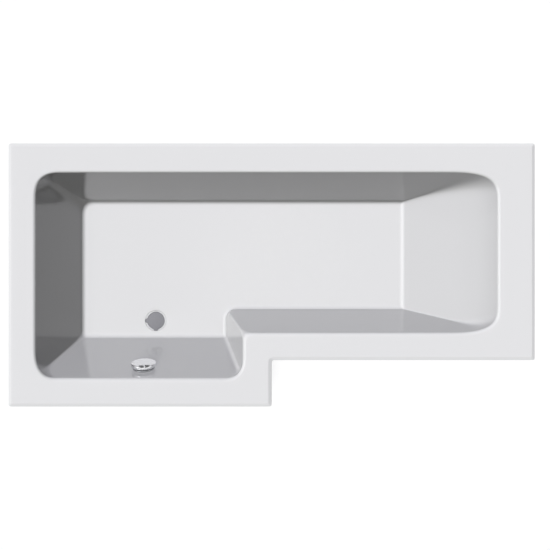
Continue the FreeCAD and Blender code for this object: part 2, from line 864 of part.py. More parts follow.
def overflow_knob():
    """Round knob, hollow behind, with a boss on the spindle."""
    disc = round_edges(cylinder(knob_radius, knob_back_w, knob_front_w), knob_edge_round, knob_front_w)
    hollow_w = knob_front_w - knob_wall - knob_edge_round / 2
    disc = disc.cut(cylinder(knob_radius - knob_wall, knob_back_w - overrun, hollow_w))
    boss_w = knob_back_w - knob_boss_reach
    knob = fuse(disc, cylinder(knob_boss_radius, boss_w, knob_front_w - knob_wall))
    bore = cylinder(spindle_radius + shaft_clearance, boss_w - overrun, knob_front_w - knob_wall)
    return on_wall(knob.cut(bore))


def knob_spindle():
    """Shaft from the knob through the bearing to the crank."""
    return on_wall(cylinder(spindle_radius, chamber_back_w + crank_back_gap, knob_front_w - knob_wall))


def spindle_crank():
    """Crank on the spindle's inner end, which pulls the cable."""
    z0 = chamber_back_w + crank_back_gap
    z1 = z0 + crank_thickness
    arm = box(0, crank_reach, -crank_width / 2, crank_width / 2, z0, z1)
    crank = fuse(cylinder(crank_radius, z0, z1), arm)
    return on_wall(crank.cut(cylinder(spindle_radius + shaft_clearance, z0 - overrun, z1 + overrun)))


def route_point(x, start_z, s):
    """Point and direction at a distance along the route: down, a quarter bend, then level."""
    y = spigot_point.y
    down = start_z - hose_level_z - hose_bend
    turn = hose_bend * math.pi / 2
    if s < down:
        return Vector(x, y, start_z - s), -UP
    if s < down + turn:
        angle = (s - down) / hose_bend
        across = hose_bend * (1 - math.cos(angle))
        above = hose_bend * (1 - math.sin(angle))
        return Vector(x, y + across, hose_level_z + above), Vector(0, math.sin(angle), -math.cos(angle))
    return Vector(x, y + hose_bend + s - down - turn, hose_level_z), ALONG_Y


def route_length(start_z, end_y):
    """Length of a route from its top to its end at the waste."""
    level = end_y - spigot_point.y - hose_bend
    return start_z - hose_level_z - hose_bend + hose_bend * math.pi / 2 + level


def route_wire(x, start_z, end_y):
    """Centre line of a route: two straight runs and the arc between them."""
    y = spigot_point.y
    bend_top = Vector(x, y, hose_level_z + hose_bend)
    bend_end = Vector(x, y + hose_bend, hose_level_z)
    middle = route_point(x, start_z, start_z - hose_level_z - hose_bend + hose_bend * math.pi / 4)[0]
    return Part.Wire([
        Part.LineSegment(Vector(x, y, start_z), bend_top).toShape(),
        Part.Arc(bend_top, middle, bend_end).toShape(),
        Part.LineSegment(bend_end, Vector(x, end_y, hose_level_z)).toShape(),
    ])


def route_tube(radius, x, start_z, end_y):
    """Round bar along a route."""
    circle = Part.Wire(Part.Circle(Vector(x, spigot_point.y, start_z), UP, radius).toShape())
    return route_wire(x, start_z, end_y).makePipeShell([circle], True, False)


def route_circle(radius, x, start_z, s):
    """Circle square to a route, its own X axis kept along the bath."""
    point, direction = route_point(x, start_z, s)
    circle = Part.Circle(point, direction, radius)
    circle.XAxis = ALONG_X
    return Part.Wire(circle.toShape())


def overflow_hose():
    """Ribbed hose with a plain cuff at each end. A rib is four circles: root, crest, crest, root."""
    length = route_length(hose_top_z, hose_end_y)
    count = int((length - 2 * hose_cuff) / hose_rib_pitch)
    first = (length - count * hose_rib_pitch) / 2
    rib_shares = ((0.10, hose_root), (0.30, hose_crest), (0.60, hose_crest), (0.80, hose_root))
    circles = [route_circle(hose_root, overflow_x, hose_top_z, 0)]
    for rib in range(count):
        for share, radius in rib_shares:
            distance = first + (rib + share) * hose_rib_pitch
            circles.append(route_circle(radius, overflow_x, hose_top_z, distance))
    circles.append(route_circle(hose_root, overflow_x, hose_top_z, length))
    outside = Part.makeLoft(circles, True, True)
    bore = route_tube(hose_bore, overflow_x, hose_top_z + overrun, hose_end_y + overrun)
    return outside.cut(bore)


def hose_nuts():
    """Ring nut on each cuff of the hose."""
    bore = hose_root + hose_clearance
    top = ring(nut_ring_radius, bore, hose_top_z - hose_nut_setback - hose_nut_length,
               hose_top_z - hose_nut_setback, overflow_x, spigot_point.y)
    low = ring(nut_ring_radius, bore, 0, hose_nut_length)
    low.Placement = FreeCAD.Placement(Vector(overflow_x, hose_end_y - hose_nut_setback, hose_level_z),
                                      FreeCAD.Rotation(UP, -ALONG_Y))
    return Part.makeCompound([top, low])


def control_cable():
    """Sheathed cable from the overflow's port to the waste's port, beside the hose."""
    return route_tube(cable_radius, cable_x, cable_top_z, cable_end_y)


def cable_ferrules():
    """Metal sleeve on each end of the cable, against its port."""
    bore = cable_radius + shaft_clearance
    outer = bore + ferrule_wall
    top = ring(outer, bore, cable_top_z - ferrule_length, cable_top_z, cable_x, spigot_point.y)
    low = ring(outer, bore, 0, ferrule_length)
    low.Placement = FreeCAD.Placement(Vector(cable_x, cable_end_y, hose_level_z),
                                      FreeCAD.Rotation(UP, -ALONG_Y))
    return Part.makeCompound([top, low])


def all_pieces():
    """Every piece of the bath by its node's name."""
    pieces = {
        "bath_shell": bath_shell(),
        "base_board": base_board(),
        "shower_rail": rail(shower_rail_x, shower_rail_front_y),
        "backrest_rail": rail(backrest_rail_x, backrest_rail_front_y),
        "centre_foot_bracket": centre_foot_bracket(),
        "rail_screws": rail_screws(),
        "weld_nuts": weld_nuts(),
        "lock_nuts": lock_nuts(),
        "wall_brackets": wall_brackets(),
        "bracket_screws": bracket_screws(),
        "waste_flange": waste_flange(),
        "waste_top_seal": waste_top_seal(),
        "waste_lower_seal": waste_lower_seal(),
        "waste_body": waste_body(),
        "plug_cap": plug_cap(),
        "plug_seal": plug_seal(),
        "plug_stem": plug_stem(),
        "lift_rocker": lift_rocker(),
        "overflow_front_seal": overflow_front_seal(),
        "overflow_back_seal": overflow_back_seal(),
        "overflow_flange": overflow_flange(),
        "overflow_body": overflow_body(),
        "overflow_knob": overflow_knob(),
        "knob_spindle": knob_spindle(),
        "spindle_crank": spindle_crank(),
        "overflow_hose": overflow_hose(),
        "hose_nuts": hose_nuts(),
        "control_cable": control_cable(),
        "cable_ferrules": cable_ferrules(),
    }
    pieces.update(battens())
    for number, place in enumerate(foot_places, start=1):
        pieces["levelling_stud_%d" % number] = levelling_stud(place)
        pieces["foot_pad_%d" % number] = foot_pad(place)
    return pieces


os.makedirs("parts", exist_ok=True)
for node, shape in all_pieces().items():
    shape.exportStep("parts/%s.step" % node)
    print("%-22s solids %d, valid %s" % (node, len(shape.Solids), shape.isValid()))
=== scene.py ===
import math

import bpy
import numpy as np
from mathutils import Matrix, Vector


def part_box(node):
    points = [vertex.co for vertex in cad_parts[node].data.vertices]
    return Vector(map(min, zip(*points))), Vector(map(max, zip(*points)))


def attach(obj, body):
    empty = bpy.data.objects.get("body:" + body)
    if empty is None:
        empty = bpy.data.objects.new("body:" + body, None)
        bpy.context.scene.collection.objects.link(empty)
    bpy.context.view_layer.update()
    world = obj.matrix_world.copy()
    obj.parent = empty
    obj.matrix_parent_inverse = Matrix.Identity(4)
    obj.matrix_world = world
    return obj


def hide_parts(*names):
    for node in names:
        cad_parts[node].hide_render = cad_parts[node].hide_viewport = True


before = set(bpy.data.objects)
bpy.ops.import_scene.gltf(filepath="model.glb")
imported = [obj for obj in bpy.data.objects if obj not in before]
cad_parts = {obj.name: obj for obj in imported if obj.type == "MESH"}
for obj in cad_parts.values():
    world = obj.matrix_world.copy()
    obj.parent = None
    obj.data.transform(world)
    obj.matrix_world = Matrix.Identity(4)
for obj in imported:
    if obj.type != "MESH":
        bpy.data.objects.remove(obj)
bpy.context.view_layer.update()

# L-shaped acrylic shower bath on its cradle. Metres, in the frame of the solids:
# +X from the shower end to the backrest end, +Y from the front to the wall side, +Z up.
MM = 0.001

# Shell as a whole
shell_low, shell_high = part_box("bath_shell")
rim_z = shell_high.z
wide_length = 850 * MM
step_out = 150 * MM
floor_z = 140 * MM
basin_depth = rim_z - floor_z
skirt_depth = 40 * MM
acrylic_thickness = 4 * MM
fibre_start = 4.05 * MM
fibre_end = 5.9 * MM

# Each side of the plan: outer place, direction into the basin, then rim width, lean of the basin wall,
# rounds at the lip and at the floor, and how far the wall's upper part is tucked back to stand steeper
sides = {
    "left": (shell_low.x, 1, 86 * MM, 55 * MM, 9 * MM, 14 * MM, 0),
    "right": (shell_high.x, -1, 118 * MM, 242 * MM, 18 * MM, 26 * MM, 18 * MM),
    "back": (shell_high.y, -1, 94 * MM, 57.5 * MM, 8 * MM, 15 * MM, 0),
    "wide_front": (shell_low.y, 1, 90 * MM, 103 * MM, 16 * MM, 20 * MM, 0),
    "narrow_front": (shell_low.y + step_out, 1, 88 * MM, 60 * MM, 13 * MM, 15 * MM, 0),
    "step": (shell_low.x + wide_length, -1, 92 * MM, 81 * MM, 14 * MM, 15 * MM, 0),
}
outer, inward, rim_width, lean, lip_round, floor_round, tuck = np.array(list(sides.values())).T
rim_edge = outer + inward * rim_width
lean_rate = (lean + tuck) / basin_depth

# Each corner round the plan: its sides along x and y, its turn, its radii along x and y at the rim,
# the depth over which they close to a crease, the crease's radii along x and y, the radius at the floor,
# and the power that makes it squarer than an ellipse
corners = (
    ("left", "wide_front", 1, 85 * MM, 110 * MM, 120 * MM, 10 * MM, 10 * MM, 28 * MM, 0.72),
    ("step", "wide_front", 1, 76 * MM, 84 * MM, 80 * MM, 16 * MM, 16 * MM, 16 * MM, 0.72),
    ("step", "narrow_front", -1, 36 * MM, 36 * MM, 70 * MM, 9 * MM, 9 * MM, 52 * MM, 0.72),
    ("right", "narrow_front", 1, 200 * MM, 100 * MM, 200 * MM, 9 * MM, 9 * MM, 12 * MM, 0.58),
    ("right", "back", 1, 200 * MM, 105 * MM, 340 * MM, 14 * MM, 40 * MM, 12 * MM, 0.55),
    ("left", "back", 1, 95 * MM, 88 * MM, 120 * MM, 18 * MM, 70 * MM, 55 * MM, 0.72),
)
side_names = list(sides)
corner_sides = np.array([[side_names.index(name) for name in corner[:2]] for corner in corners])
turn = np.array([[corner[2]] for corner in corners])
rim_radius = np.array([corner[3:5] for corner in corners])
corner_depth = np.array([corner[5] for corner in corners])
crease_radius = np.array([corner[6:8] for corner in corners])
floor_radius = np.array([corner[8:9] for corner in corners])
corner_power = np.array([corner[9] for corner in corners])

# Rounding of the shell
tuck_depth = 120 * MM
foot_flare_height = 90 * MM
bevel_ease = 5 * MM
bevel_width = 8 * MM
bevel_tilt = math.radians(20)
skirt_round = 2.5 * MM
plan_radius = 10 * MM
least_round = 0.4 * MM
support_gap = 4 * MM

# Waste, and the overflow a little to one side of it
flange_low, flange_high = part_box("waste_flange")
waste_x, waste_y = (np.array(flange_low) + np.array(flange_high))[:2] / 2
recess_radius = 39.5 * MM
recess_depth = 4 * MM
recess_round = 1.5 * MM
waste_hole = 26.5 * MM
overflow_down = 88 * MM
overflow_hole = 26.5 * MM
bore_reach = 20 * MM
wide_front = side_names.index("wide_front")
wall_slope = math.atan(lean_rate[wide_front])
overflow_y = rim_edge[wide_front] + lean_rate[wide_front] * overflow_down
knob_low, knob_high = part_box("overflow_knob")
overflow_point = np.array([(knob_low.x + knob_high.x) / 2, overflow_y, rim_z - overflow_down])

# Overflow knob, in heights above the wall it stands on
knob_radius = 41 * MM
knob_front = 22 * MM
knob_shoulder = 18.5 * MM
knob_waist = 11 * MM
knob_back = 10 * MM
knob_flat = 38 * MM
knob_dome = 0.5 * MM
knob_foot_radius = 40 * MM
knob_hollow_radius = 34 * MM
knob_hollow_top = 15 * MM
knob_boss_radius = 9 * MM
knob_boss_back = 8 * MM
knob_bore = 4.3 * MM
scoop_turn = math.radians(12)
scoop_start = 23 * MM
scoop_blend = 3 * MM
scoop_slope = 0.3
scoop_half_width = 22 * MM
rib_half_width = 4 * MM
rib_share = 0.8

# Plug and its lugs
plug_low, plug_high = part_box("plug_cap")
plug_radius = 33 * MM
plug_thickness = 4.4 * MM
plug_round = 2.4 * MM
plug_dome = 0.8 * MM
plug_boss_radius = 12 * MM
plug_centre_share = 0.1
lug_flatness = 2.5
lug_angles = np.radians([0, 180, 270])
lug_widths = np.array([22, 30, 19]) * MM
lug_reaches = np.array([5.2, 1, 8]) * MM

# Hose and cable, which share one route down from the overflow, round a bend and level to the waste
nuts_low, nuts_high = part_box("hose_nuts")
hose_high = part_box("overflow_hose")[1]
cable_low, cable_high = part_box("control_cable")
nut_radius = (nuts_high.x - nuts_low.x) / 2
route_y = nuts_low.y + nut_radius
route_z = nuts_low.z + nut_radius
hose_x = (nuts_high.x + nuts_low.x) / 2
hose_bore = 16.2 * MM
hose_root = 17.7 * MM
rib_height = 1.8 * MM
rib_pitch = 6 * MM
rib_flatness = 1.6
hose_cuff = 2 * (hose_root + rib_height)
route_bend = hose_high.y - hose_cuff - route_y
cable_radius = 2.5 * MM
cable_x = (cable_high.x + cable_low.x) / 2

# Cradle
feet = 5
stud_radius = 5 * MM
thread_pitch = 1.5 * MM
thread_depth = 0.8 * MM
pad_radius = 25 * MM
pad_rim = 7 * MM
pad_round = 2 * MM
pad_foot_ease = 0.5 * MM
pad_socket = 9 * MM
pad_height = 26 * MM
pad_boss = 11 * MM
pad_rib_rise = 9 * MM
pad_ribs = 6
pad_rib_steepness = 3
pad_rib_cut = 0.5
batten_ease = 2 * MM
batten_end_angle = 0.2

# How finely surfaces are divided: steps go round or across a piece, rows go along it
corner_steps = 24
round_steps = 13
flare_steps = 42
wall_steps = 5
circle_steps = 64
knob_steps = 3 * circle_steps
knob_rows = 2 * round_steps
plug_steps = 2 * circle_steps
plug_face_rows = 6
hose_steps = 48
hose_rows_per_rib = 8
hose_bore_rows = 40
cable_steps = 20
cable_rows = 80
thread_steps = 24
thread_rows_per_turn = 6
pad_steps = 72
pad_web_rows = 5
batten_steps = 4
crease_angle = math.radians(32)

# Points on the straight run after each corner, as shares of it. The runs past the waste, along the wide
# front and along the back, keep their three middle points at fixed places.
run_shares = np.array([0.03, 0.25, 0.5, 0.75, 0.97])
stop_spacing = 60 * MM
stops = waste_x + stop_spacing * np.array([-1, 0, 1])
front_run = 0
back_run = 4
fixed_stops = {front_run: stops, back_run: stops[::-1]}
columns_per_corner = corner_steps + 1 + len(run_shares)
middle_of_run = corner_steps + 1 + len(run_shares) // 2
front_column = front_run * columns_per_corner + middle_of_run
back_column = back_run * columns_per_corner + middle_of_run

# Noise values between which a finish runs through its whole range
noise_low = 0.3
noise_high = 0.7

# Light, ground and view. At the full light a surface that faces the lamp renders about as its colour
# is written.
full_light = 3.05
overhead_width = math.radians(12)
level_width = math.radians(2)
sheen_width = math.radians(30)
sheen_strength = 0.5
sheen_side = Vector((-0.64, 0, 0.77))
matt_surround = 0.02
ground_half = 6.0
ground_glow = 0.45
camera_lens = 50
camera_sensor = 36
camera_place = (0.011, 0, 3.003)


def linear(hex_colour):
    """An sRGB hex colour as linear red, green, blue and alpha."""
    srgb = np.array([int(hex_colour[i:i + 2], 16) for i in (1, 3, 5)]) / 255
    value = np.where(srgb <= 0.04045, srgb / 12.92, ((srgb + 0.055) / 1.055) ** 2.4)
    return (*value.tolist(), 1.0)


def add_node(tree, kind, settings, inputs):
    """One node with its settings; an input is a plain value, or another node's output to link."""
    node = tree.nodes.new(kind)
    for name, value in settings.items():
        setattr(node, name, value)
    for name, value in inputs.items():
        if isinstance(value, bpy.types.NodeSocket):
            tree.links.new(value, node.inputs[name])
        else:
            node.inputs[name].default_value = value
    return node


def new_material(name, values):
    """A Principled material with plain values on its sockets; gives the material, its tree, its shader and
    the object's coordinates."""
    material = bpy.data.materials.new(name)
    material.use_nodes = True
    tree = material.node_tree
    shader = tree.nodes["Principled BSDF"]
    for socket, value in values.items():
        shader.inputs[socket].default_value = value
    place = tree.nodes.new("ShaderNodeTexCoord").outputs["Object"]
    return material, tree, shader, place


def polished_acrylic():
    """Vacuum-formed acrylic sheet: glossy cold white, with the faint waviness that forming leaves in
    reflections."""
    ripple_size = 45 * MM
    haze_size = 90 * MM
    material, tree, shader, place = new_material("polished_acrylic", {
        "Base Color": linear("#E6E6E8"), "IOR": 1.49})
    ripple = add_node(tree, "ShaderNodeTexNoise", {}, {
        "Vector": place, "Scale": 1 / ripple_size, "Detail": 1.0})
    bump = add_node(tree, "ShaderNodeBump", {}, {
        "Height": ripple.outputs["Fac"], "Strength": 0.15, "Distance": 0.3 * MM})
    tree.links.new(bump.outputs["Normal"], shader.inputs["Normal"])
    haze = add_node(tree, "ShaderNodeTexNoise", {}, {
        "Vector": place, "Scale": 1 / haze_size, "Detail": 3.0})
    rough = add_node(tree, "ShaderNodeMapRange", {}, {
        "Value": haze.outputs["Fac"], "From Min": noise_low, "From Max": noise_high,
        "To Min": 0.07, "To Max": 0.12})
    tree.links.new(rough.outputs["Result"], shader.inputs["Roughness"])
    return material


def uneven(name, colours, grain, roughness, relief, values):
    """A material in which noise of a real grain size mixes two colours, varies the roughness between two
    values and raises the surface by the relief."""
    material, tree, shader, place = new_material(name, values)
    noise = add_node(tree, "ShaderNodeTexNoise", {}, {"Vector": place, "Scale": 1 / grain, "Detail": 3.0})
    tint = add_node(tree, "ShaderNodeMixRGB", {}, {
        "Fac": noise.outputs["Fac"], "Color1": linear(colours[0]), "Color2": linear(colours[1])})
    rough = add_node(tree, "ShaderNodeMapRange", {}, {
        "Value": noise.outputs["Fac"], "From Min": noise_low, "From Max": noise_high,
        "To Min": roughness[0], "To Max": roughness[1]})
    bump = add_node(tree, "ShaderNodeBump", {}, {
        "Height": noise.outputs["Fac"], "Strength": 0.6, "Distance": relief})
    tree.links.new(tint.outputs["Color"], shader.inputs["Base Color"])
    tree.links.new(rough.outputs["Result"], shader.inputs["Roughness"])
    tree.links.new(bump.outputs["Normal"], shader.inputs["Normal"])
    return material


def stretched(tree, place, grain, turned, detail):
    """Noise drawn out along axes that are turned by three angles: one grain size along each of X, Y, Z."""
    scaled = add_node(tree, "ShaderNodeMapping", {"vector_type": "TEXTURE"}, {
        "Vector": place, "Scale": grain, "Rotation": turned})
    return add_node(tree, "ShaderNodeTexNoise", {}, {
        "Vector": scaled.outputs["Vector"], "Scale": 1.0, "Detail": detail}).outputs["Fac"]


def sprayed_glass_fibre():
    """Chopped strands sprayed on with resin: dull off-white with short strands lying every way, which stand
    up as a coarse crossed texture. Strands are drawn about three times their width to show."""
    material, tree, shader, place = new_material("sprayed_glass_fibre", {"Roughness": 0.55, "IOR": 1.54})
    strand = 3.5 * MM
    length = 45 * MM
    layers = 6
    layer_turn = np.array([0.7, 1.1, 1.9])
    strands = None
    for layer in range(layers):
        lying = stretched(tree, place, (length, strand, strand), tuple(layer * layer_turn), 1.0)
        if strands:
            higher = add_node(tree, "ShaderNodeMath", {"operation": "MAXIMUM"}, {0: strands, 1: lying})
            lying = higher.outputs[0]
        strands = lying
    share = add_node(tree, "ShaderNodeMapRange", {}, {
        "Value": strands, "From Min": 0.55, "From Max": 0.8}).outputs["Result"]
    tint = add_node(tree, "ShaderNodeMixRGB", {}, {
        "Fac": share, "Color1": linear("#C0BEB2"), "Color2": linear("#E4E3DB")})
    bump = add_node(tree, "ShaderNodeBump", {}, {"Height": share, "Strength": 0.8, "Distance": 0.9 * MM})
    tree.links.new(tint.outputs["Color"], shader.inputs["Base Color"])
    tree.links.new(bump.outputs["Normal"], shader.inputs["Normal"])
    return material


def pressed_chipboard():
    """Pressed wood chips and resin: pale brown flakes a few millimetres across, each of its own shade."""
    material, tree, shader, place = new_material("pressed_chipboard", {"Roughness": 0.8})
    flake = 4 * MM
    cells = add_node(tree, "ShaderNodeTexVoronoi", {}, {"Vector": place, "Scale": 1 / flake})
    shade = add_node(tree, "ShaderNodeRGBToBW", {}, {"Color": cells.outputs["Color"]})
    tint = add_node(tree, "ShaderNodeMixRGB", {}, {
        "Fac": shade.outputs["Val"], "Color1": linear("#9A7747"), "Color2": linear("#D2B587")})
    bump = add_node(tree, "ShaderNodeBump", {}, {
        "Height": shade.outputs["Val"], "Strength": 0.5, "Distance": 0.3 * MM})
    tree.links.new(tint.outputs["Color"], shader.inputs["Base Color"])
    tree.links.new(bump.outputs["Normal"], shader.inputs["Normal"])
    return material


def planed_softwood(name, along):
    """Planed pine batten: yellow-brown, with darker year rings drawn out along its length and fine
    pores."""
    material, tree, shader, place = new_material(name, {"Roughness": 0.6})
    ring = 5 * MM
    length = 240 * MM
    pores_per_ring = 6
    grain = [ring, ring, ring]
    grain[along] = length
    rings = stretched(tree, place, grain, (0, 0, 0), 2.0)
    pores = stretched(tree, place, [size / pores_per_ring for size in grain], (0, 0, 0), 4.0)
    mixed = add_node(tree, "ShaderNodeMixRGB", {}, {"Fac": 0.35, "Color1": rings, "Color2": pores})
    share = add_node(tree, "ShaderNodeMapRange", {}, {
        "Value": mixed.outputs["Color"], "From Min": 0.35, "From Max": 0.65})
    tint = add_node(tree, "ShaderNodeMixRGB", {}, {
        "Fac": share.outputs["Result"], "Color1": linear("#A97C45"), "Color2": linear("#D9B67E")})
    bump = add_node(tree, "ShaderNodeBump", {}, {
        "Height": share.outputs["Result"], "Strength": 0.4, "Distance": 0.25 * MM})
    tree.links.new(tint.outputs["Color"], shader.inputs["Base Color"])
    tree.links.new(bump.outputs["Normal"], shader.inputs["Normal"])
    return material


def zinc_plated_steel():
    """Galvanised pressed steel: cool grey metal broken into dull spangles about a centimetre across."""
    material, tree, shader, place = new_material("zinc_plated_steel", {"Metallic": 1.0})
    spangle = 9 * MM
    cells = add_node(tree, "ShaderNodeTexVoronoi", {}, {"Vector": place, "Scale": 1 / spangle})
    shade = add_node(tree, "ShaderNodeRGBToBW", {}, {"Color": cells.outputs["Color"]})
    tint = add_node(tree, "ShaderNodeMixRGB", {}, {
        "Fac": shade.outputs["Val"], "Color1": linear("#9DA1A6"), "Color2": linear("#C3C7CB")})
    rough = add_node(tree, "ShaderNodeMapRange", {}, {
        "Value": shade.outputs["Val"], "To Min": 0.28, "To Max": 0.5})
    tree.links.new(tint.outputs["Color"], shader.inputs["Base Color"])
    tree.links.new(rough.outputs["Result"], shader.inputs["Roughness"])
    return material


def satin_plated_plug():
    """Turned and satin-plated brass: mid grey metal with fine turning rings round the waste's middle,
    drawn about three times as wide as real ones to show."""
    material, tree, shader, place = new_material("satin_plated_plug", {"Metallic": 1.0})
    ring = 0.9 * MM
    plain_wave = math.pi / 10
    centred = add_node(tree, "ShaderNodeMapping", {}, {
        "Vector": place, "Location": (-waste_x, -waste_y, 0)})
    rings = add_node(tree, "ShaderNodeTexWave", {"wave_type": "RINGS", "rings_direction": "Z"}, {
        "Vector": centred.outputs["Vector"], "Scale": plain_wave / ring, "Distortion": 0.4, "Detail": 1.0})
    tint = add_node(tree, "ShaderNodeMixRGB", {}, {
        "Fac": rings.outputs["Fac"], "Color1": linear("#8C8C91"), "Color2": linear("#98989D")})
    rough = add_node(tree, "ShaderNodeMapRange", {}, {
        "Value": rings.outputs["Fac"], "To Min": 0.3, "To Max": 0.4})
    tree.links.new(tint.outputs["Color"], shader.inputs["Base Color"])
    tree.links.new(rough.outputs["Result"], shader.inputs["Roughness"])
    return material


# Soft chrome plate on a moulding: bright, with a blurred image and a faint haze of wiping marks
chrome_plate = uneven(
    "chrome_plate", ("#F0F1F3", "#F8F8FA"), 6 * MM, (0.2, 0.28), 0.01 * MM, {"Metallic": 1.0})
# Satin plate, finely blasted before plating: mid grey metal without a mirror image
satin_plate = uneven(
    "satin_plate", ("#B0B1B4", "#BEBFC2"), 3 * MM, (0.32, 0.45), 0.02 * MM, {"Metallic": 1.0})
# Wiped chrome plate of the waste, worn by cleaning: bright grey with a soft image
worn_chrome = uneven(
    "worn_chrome_plate", ("#DCDDDF", "#E6E7E9"), 8 * MM, (0.15, 0.28), 0.01 * MM, {"Metallic": 1.0})
# Turned brass: warm yellow metal, dulled in patches by handling
turned_brass = uneven(
    "turned_brass", ("#B28F46", "#CDAE66"), 4 * MM, (0.22, 0.4), 0.02 * MM, {"Metallic": 1.0})
# Moulded nylon: black with a fine moulded sparkle
moulded_nylon = uneven(
    "moulded_nylon", ("#161617", "#242425"), 1.2 * MM, (0.4, 0.6), 0.05 * MM, {"IOR": 1.53})
# Moulded rubber: soft black, powdery in patches
moulded_rubber = uneven(
    "moulded_rubber", ("#1A1A1B", "#2A2A2B"), 3 * MM, (0.65, 0.85), 0.05 * MM, {"IOR": 1.52})
# Moulded polypropylene: slightly waxy white
moulded_polypropylene = uneven(
    "moulded_polypropylene", ("#D6D6D2", "#E2E2DF"), 5 * MM, (0.35, 0.5), 0.06 * MM, {"IOR": 1.49})
# Blow-moulded hose: grey, waxy, a little uneven
blow_moulded_hose = uneven(
    "blow_moulded_hose", ("#B4B7BA", "#C6C9CB"), 7 * MM, (0.4, 0.55), 0.08 * MM, {"IOR": 1.5})
# Extruded cable sheath: black with a dull sheen
extruded_sheath = uneven(
    "extruded_sheath", ("#18181A", "#262628"), 4 * MM, (0.4, 0.55), 0.03 * MM, {"IOR": 1.52})
# Moulded acetal: cream white, smooth and slippery
moulded_acetal = uneven(
    "moulded_acetal", ("#DAD9CF", "#E5E4DB"), 4 * MM, (0.25, 0.4), 0.03 * MM, {"IOR": 1.48})
zinc = zinc_plated_steel()


def fillet_gap(height, radius):
    """How far a round keeps off the corner between a level plane and each wall, at heights from the plane:
    the wall's own slanted line less the circle that touches both."""
    tilt = np.arctan(lean_rate)
    h = height[:, None]
    circle = np.sqrt(np.maximum(radius ** 2 - (radius - h) ** 2, 0))
    gap = (h - radius) * np.tan(tilt) + radius / np.cos(tilt) - circle
    return np.where(h < radius * (1 - np.sin(tilt)), gap, 0)


def basin_rows(down, grow):
    """Rows of one face of the basin at depths below the rim. A wall's place is its rim edge plus its lean,
    moved back square to the wall by grow, out at the lip's round and in at the floor's. Corner radii open
    out, and a tucked wall comes forward to its rim edge, with the square of the height in the top part;
    near the floor they change with the square of the depth."""
    forward = np.clip(1 - down / tuck_depth, 0, 1)[:, None] ** 2
    flare = np.clip(1 - down[:, None] / corner_depth, 0, 1) ** 2
    lip = fillet_gap(down - grow, np.maximum(lip_round - grow, least_round))
    foot = fillet_gap(basin_depth + grow - down, floor_round + grow)
    spread = grow * np.hypot(1, lean_rate) + lip - foot
    places = rim_edge + inward * (lean_rate * down[:, None] - tuck * (1 - forward) - spread)
    foot_flare = np.clip(1 - (basin_depth - down) / foot_flare_height, 0, 1)[:, None] ** 2
    at_rim = flare[:, :, None] * (rim_radius - crease_radius)
    at_floor = foot_flare[:, :, None] * (floor_radius - crease_radius)
    radii = crease_radius + at_rim + at_floor + turn * spread[:, corner_sides]
    return places, np.maximum(radii, least_round), rim_z - down


def plan_rows(inset, z):
    """Rows of the outer plan moved inward, each at its own level."""
    places = outer + inward * inset[:, None]
    radii = plan_radius - turn * inset[:, None, None]
    return places, np.maximum(radii, least_round) * np.ones(2), z


def rim_edge_path(grow):
    """Distances in from the skirt and down from the rim along the rim's outer edge: a round that eases into
    a bevel, the bevel, and a round from it to the skirt."""
    upper = np.linspace(0, bevel_tilt, round_steps)
    lower = np.linspace(bevel_tilt, math.pi / 2, round_steps)
    ease = max(bevel_ease - grow, least_round)
    edge = max(skirt_round - grow, least_round)
    out = ease * np.sin(upper)
    down = ease * (1 - np.cos(upper))
    bevel_out = out[-1] + bevel_width + edge * (np.sin(lower) - np.sin(bevel_tilt))
    bevel_fall = bevel_width * math.tan(bevel_tilt)
    bevel_down = down[-1] + bevel_fall + edge * (np.cos(bevel_tilt) - np.cos(lower))
    return bevel_out[-1] - np.concatenate([out, bevel_out]), np.concatenate([down, bevel_down])


def face_rows(grow):
    """All rows of the face that lies grow behind the show face: floor, fillet, wall, flare, lip, rim and
    skirt."""
    quarter = np.linspace(0, math.pi / 2, round_steps)
    ease = 1 - np.cos(quarter)
    foot = basin_depth + grow - (floor_round.max() + grow) * ease
    lip = grow + max(lip_round.max() - grow, least_round) * ease[::-1]
    wall = np.linspace(foot[-1], corner_depth.max(), wall_steps)[1:]
    flare = np.linspace(corner_depth.max(), lip[0], flare_steps)[1:-1]
    places, radii, z = basin_rows(np.concatenate([foot, wall, flare, lip]), grow)
    support = support_gap * inward
    inner_places = np.concatenate([places[:1] + support, places, places[-1:] - support])
    inner_radii = np.concatenate([np.maximum(radii[:1] - turn * support_gap, least_round), radii,
                                  radii[-1:] + turn * support_gap])
    inner_z = np.concatenate([z[:1], z, z[-1:]])
    from_skirt, drop = rim_edge_path(grow)
    inset = grow + np.concatenate([from_skirt[:1] + support_gap, from_skirt, [0]])
    level = rim_z - np.concatenate([[grow], grow + drop, [skirt_depth]])
    outer_rows = plan_rows(inset, level)
    return [np.concatenate(pair) for pair in zip((inner_places, inner_radii, inner_z), outer_rows)]


def l_rings(places, radii, z):
    """Closed L outlines, one for each row: a quarter at each corner, squarer than an ellipse because its
    cosine and sine are raised to a power below one, and a straight run to the next. The quarter's points
    lie closer at its ends."""
    quarter = math.pi / 4 * (1 - np.cos(np.linspace(0, math.pi, corner_steps + 1)))
    arcs = []
    for k, pair in enumerate(corner_sides):
        angle = quarter if k % 2 == 0 else quarter[::-1]
        reach = turn[k] * inward[pair] * radii[:, k]
        off = 1 - np.stack([np.cos(angle), np.sin(angle)], axis=1) ** corner_power[k]
        arcs.append(places[:, None, pair] + reach[:, None] * off)
    pieces = []
    for k, arc in enumerate(arcs):
        start = arc[:, -1]
        step = arcs[(k + 1) % len(arcs)][:, 0] - start
        share = np.tile(run_shares, (len(z), 1))
        if k in fixed_stops:
            share[:, 1:-1] = (fixed_stops[k] - start[:, :1]) / step[:, :1]
        pieces += [arc, start[:, None] + share[:, :, None] * step[:, None]]
    flat = np.concatenate(pieces, axis=1)
    level = np.broadcast_to(z[:, None, None], flat.shape[:2] + (1,))
    return np.concatenate([flat, level], axis=2)


